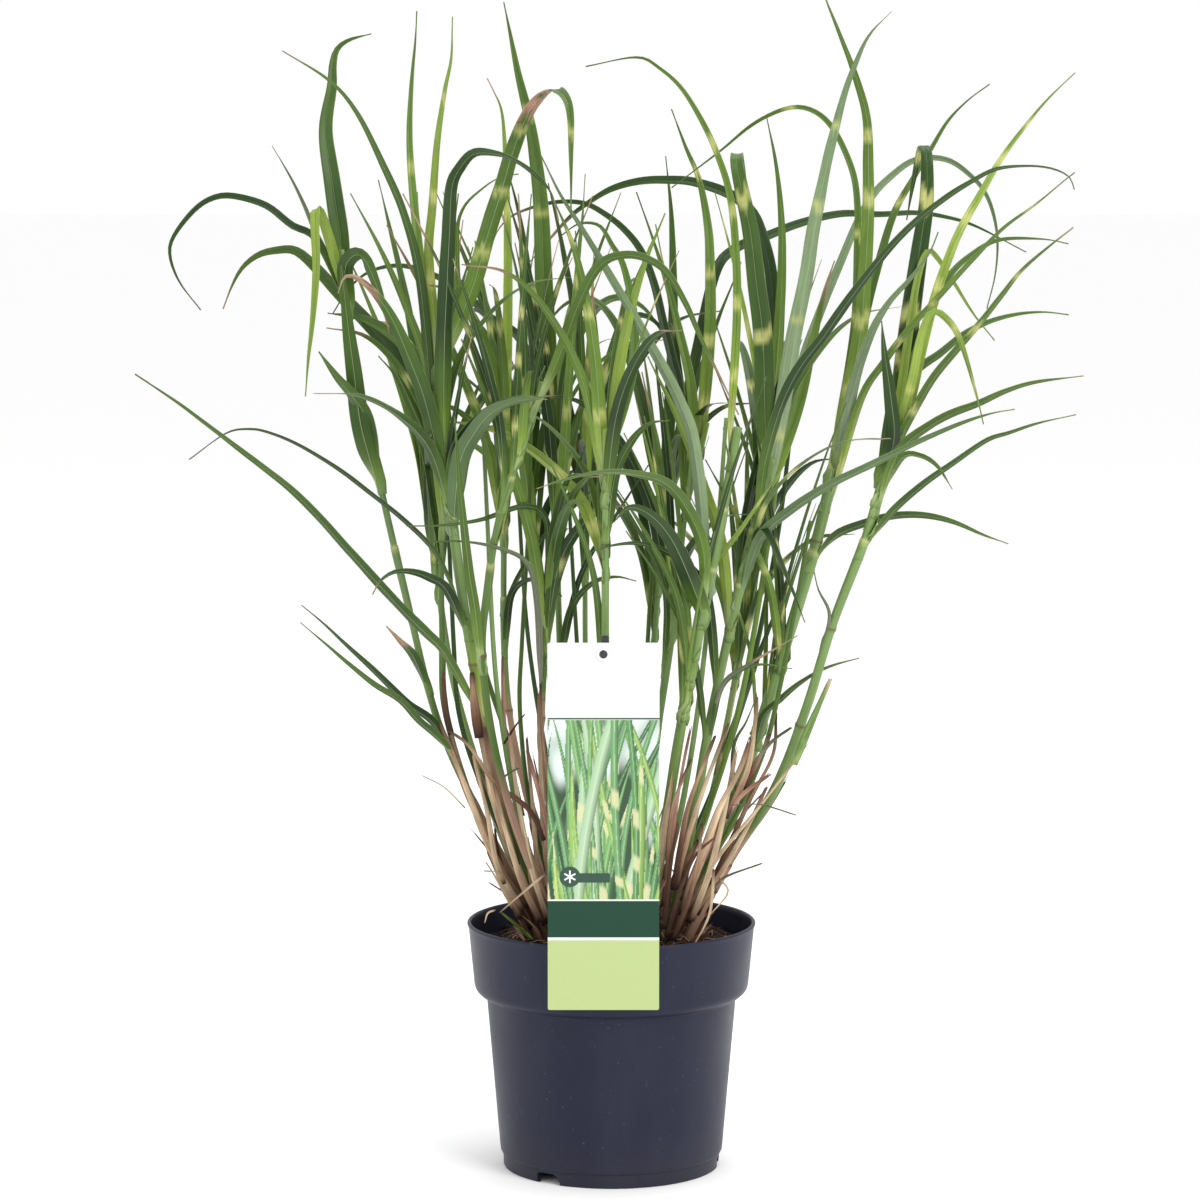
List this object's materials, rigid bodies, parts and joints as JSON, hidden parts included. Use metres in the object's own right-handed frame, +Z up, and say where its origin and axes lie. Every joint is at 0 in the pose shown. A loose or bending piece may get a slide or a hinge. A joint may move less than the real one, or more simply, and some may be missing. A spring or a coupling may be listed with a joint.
{
  "type": "potted miscanthus grass clump",
  "caption": "Tall clump of zebra-type ornamental grass with arching narrow blades on upright culms, in a dark round nursery pot of compost with a picture label on a stake",
  "frame": {"origin": "centre of the pot's foot, on the plane that it stands on", "axes": "+Z up the clump, +Y away from the label side, +X to the right as the label is read"},
  "size_m": [0.601, 0.4829, 0.7732],
  "materials": {
    "pot": "moulded dark slate-blue polypropylene, satin, slightly dusty",
    "soil": "dark fibrous peat-type compost, matt",
    "card": "printed plastic card, satin",
    "stake": "black moulded plastic, satin",
    "culm": "waxy green culm, tan to brown at the base",
    "leaf": "satin green blade with parallel veins and a pale midrib"
  },
  "bodies": {
    "root": {"pot": "pot", "soil": "soil", "label_card": "card", "label_stake": "stake", "culm_01": "culm", "culm_02": "culm", "culm_03": "culm", "culm_04": "culm", "culm_05": "culm", "culm_06": "culm", "culm_07": "culm", "culm_08": "culm", "culm_09": "culm", "culm_10": "culm", "culm_11": "culm", "culm_12": "culm", "culm_13": "culm", "culm_14": "culm", "culm_15": "culm", "culm_16": "culm", "culm_17": "culm", "culm_18": "culm", "leaf_01": "leaf", "leaf_02": "leaf", "leaf_03": "leaf", "leaf_04": "leaf", "leaf_05": "leaf", "leaf_06": "leaf", "leaf_07": "leaf", "leaf_08": "leaf", "leaf_09": "leaf", "leaf_10": "leaf", "leaf_11": "leaf", "leaf_12": "leaf", "leaf_13": "leaf", "leaf_14": "leaf", "leaf_15": "leaf", "leaf_16": "leaf", "leaf_17": "leaf", "leaf_18": "leaf", "leaf_19": "leaf", "leaf_20": "leaf", "leaf_21": "leaf", "leaf_22": "leaf", "leaf_23": "leaf", "leaf_24": "leaf", "leaf_25": "leaf", "leaf_26": "leaf", "leaf_27": "leaf", "leaf_28": "leaf", "leaf_29": "leaf", "leaf_30": "leaf", "leaf_31": "leaf", "leaf_32": "leaf", "leaf_33": "leaf", "leaf_34": "leaf", "leaf_35": "leaf", "leaf_36": "leaf", "leaf_37": "leaf", "leaf_38": "leaf"}
  },
  "joints": []
}
